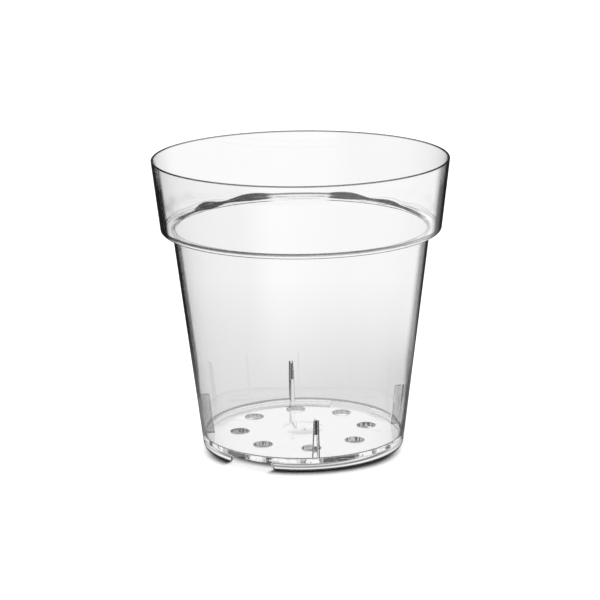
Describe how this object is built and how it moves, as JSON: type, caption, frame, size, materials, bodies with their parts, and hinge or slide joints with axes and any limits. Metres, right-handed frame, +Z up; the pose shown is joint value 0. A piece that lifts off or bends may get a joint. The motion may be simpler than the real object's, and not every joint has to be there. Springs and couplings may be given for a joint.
{
  "type": "orchid pot",
  "caption": "Clear tapered orchid pot with a wide collar, drain holes in the floor, small stacking ribs and a notched foot ring.",
  "frame": {"origin": "on the pot's axis, in the plane that the foot stands on", "axes": "+Z up along the pot's axis; two ribs lie on the X axis and two on the Y axis"},
  "size_m": [0.1298, 0.1298, 0.1287],
  "materials": {
    "clear_plastic": "clear, glossy, as moulded"
  },
  "bodies": {
    "root": {"collar": "clear_plastic", "shoulder_ledge": "clear_plastic", "body_wall": "clear_plastic", "floor_plate": "clear_plastic", "gate_disc": "clear_plastic", "stacking_rib_1": "clear_plastic", "stacking_rib_2": "clear_plastic", "stacking_rib_3": "clear_plastic", "stacking_rib_4": "clear_plastic", "foot_arc_1": "clear_plastic", "foot_arc_2": "clear_plastic"}
  },
  "joints": []
}
